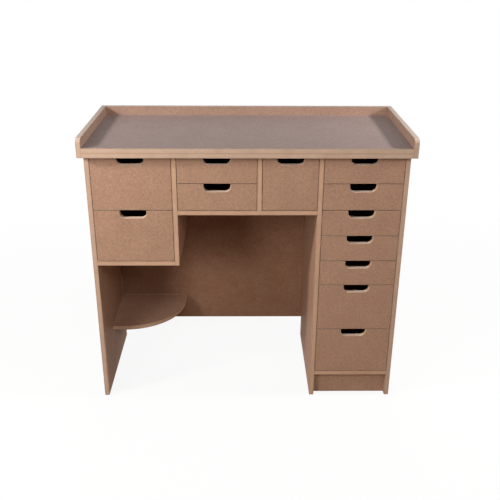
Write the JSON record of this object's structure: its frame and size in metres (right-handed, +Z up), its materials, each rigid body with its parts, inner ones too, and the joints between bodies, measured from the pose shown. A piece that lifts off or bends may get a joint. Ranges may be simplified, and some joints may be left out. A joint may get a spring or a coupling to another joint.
{
  "type": "jewelers bench",
  "caption": "Free-standing fibreboard workbench with a railed worktop, an open knee space, a rounded corner shelf, and inset drawers on side runners pulled by finger notches.",
  "frame": {"origin": "on the floor, under the middle of the bench's overall width and depth", "axes": "+X towards the drawer pedestal, +Y towards the back, +Z up; the drawers open towards -Y"},
  "size_m": [1.236, 0.548, 1.118],
  "materials": {
    "board": "raw medium-density fibreboard, sealed, with paler cut edges",
    "worktop_board": "medium-density fibreboard with a clear satin sealer",
    "thin_board": "thin fibreboard, raw",
    "beech": "planed beech, raw"
  },
  "bodies": {
    "bench": {"worktop_upper_board": "worktop_board", "worktop_lower_board": "board", "left_rail": "board", "right_rail": "board", "back_rail": "board", "left_side_panel": "board", "left_bay_divider": "board", "left_bay_floor": "board", "centre_bay_floor": "board", "centre_divider": "board", "pedestal_inner_panel": "board", "right_side_panel": "board", "pedestal_floor": "board", "plinth": "board", "back_panel": "board", "pedestal_back_panel": "board", "corner_shelf": "board", "left_bay_runners": "beech", "centre_bay_runners": "beech", "tall_bay_runners": "beech", "pedestal_runners": "beech", "worktop_dowels": "beech", "rail_dowels": "beech"},
    "left_upper_drawer": {"left_upper_drawer_front": "board", "left_upper_drawer_box": "board", "left_upper_drawer_bottom": "thin_board"},
    "left_lower_drawer": {"left_lower_drawer_front": "board", "left_lower_drawer_box": "board", "left_lower_drawer_bottom": "thin_board"},
    "centre_upper_drawer": {"centre_upper_drawer_front": "board", "centre_upper_drawer_box": "board", "centre_upper_drawer_bottom": "thin_board"},
    "centre_lower_drawer": {"centre_lower_drawer_front": "board", "centre_lower_drawer_box": "board", "centre_lower_drawer_bottom": "thin_board"},
    "tall_drawer": {"tall_drawer_front": "board", "tall_drawer_box": "board", "tall_drawer_bottom": "thin_board"},
    "pedestal_drawer_1": {"pedestal_drawer_1_front": "board", "pedestal_drawer_1_box": "board", "pedestal_drawer_1_bottom": "thin_board"},
    "pedestal_drawer_2": {"pedestal_drawer_2_front": "board", "pedestal_drawer_2_box": "board", "pedestal_drawer_2_bottom": "thin_board"},
    "pedestal_drawer_3": {"pedestal_drawer_3_front": "board", "pedestal_drawer_3_box": "board", "pedestal_drawer_3_bottom": "thin_board"},
    "pedestal_drawer_4": {"pedestal_drawer_4_front": "board", "pedestal_drawer_4_box": "board", "pedestal_drawer_4_bottom": "thin_board"},
    "pedestal_drawer_5": {"pedestal_drawer_5_front": "board", "pedestal_drawer_5_box": "board", "pedestal_drawer_5_bottom": "thin_board"},
    "pedestal_drawer_6": {"pedestal_drawer_6_front": "board", "pedestal_drawer_6_box": "board", "pedestal_drawer_6_bottom": "thin_board"},
    "pedestal_drawer_7": {"pedestal_drawer_7_front": "board", "pedestal_drawer_7_box": "board", "pedestal_drawer_7_bottom": "thin_board"}
  },
  "joints": [
    {"name": "left_upper_drawer_slide", "type": "slide", "parent": "bench", "child": "left_upper_drawer", "axis": [0, -1, 0], "range_m": [0, 0.33]},
    {"name": "left_lower_drawer_slide", "type": "slide", "parent": "bench", "child": "left_lower_drawer", "axis": [0, -1, 0], "range_m": [0, 0.33]},
    {"name": "centre_upper_drawer_slide", "type": "slide", "parent": "bench", "child": "centre_upper_drawer", "axis": [0, -1, 0], "range_m": [0, 0.33]},
    {"name": "centre_lower_drawer_slide", "type": "slide", "parent": "bench", "child": "centre_lower_drawer", "axis": [0, -1, 0], "range_m": [0, 0.33]},
    {"name": "tall_drawer_slide", "type": "slide", "parent": "bench", "child": "tall_drawer", "axis": [0, -1, 0], "range_m": [0, 0.33]},
    {"name": "pedestal_drawer_1_slide", "type": "slide", "parent": "bench", "child": "pedestal_drawer_1", "axis": [0, -1, 0], "range_m": [0, 0.33]},
    {"name": "pedestal_drawer_2_slide", "type": "slide", "parent": "bench", "child": "pedestal_drawer_2", "axis": [0, -1, 0], "range_m": [0, 0.33]},
    {"name": "pedestal_drawer_3_slide", "type": "slide", "parent": "bench", "child": "pedestal_drawer_3", "axis": [0, -1, 0], "range_m": [0, 0.33]},
    {"name": "pedestal_drawer_4_slide", "type": "slide", "parent": "bench", "child": "pedestal_drawer_4", "axis": [0, -1, 0], "range_m": [0, 0.33]},
    {"name": "pedestal_drawer_5_slide", "type": "slide", "parent": "bench", "child": "pedestal_drawer_5", "axis": [0, -1, 0], "range_m": [0, 0.33]},
    {"name": "pedestal_drawer_6_slide", "type": "slide", "parent": "bench", "child": "pedestal_drawer_6", "axis": [0, -1, 0], "range_m": [0, 0.33]},
    {"name": "pedestal_drawer_7_slide", "type": "slide", "parent": "bench", "child": "pedestal_drawer_7", "axis": [0, -1, 0], "range_m": [0, 0.33]}
  ]
}
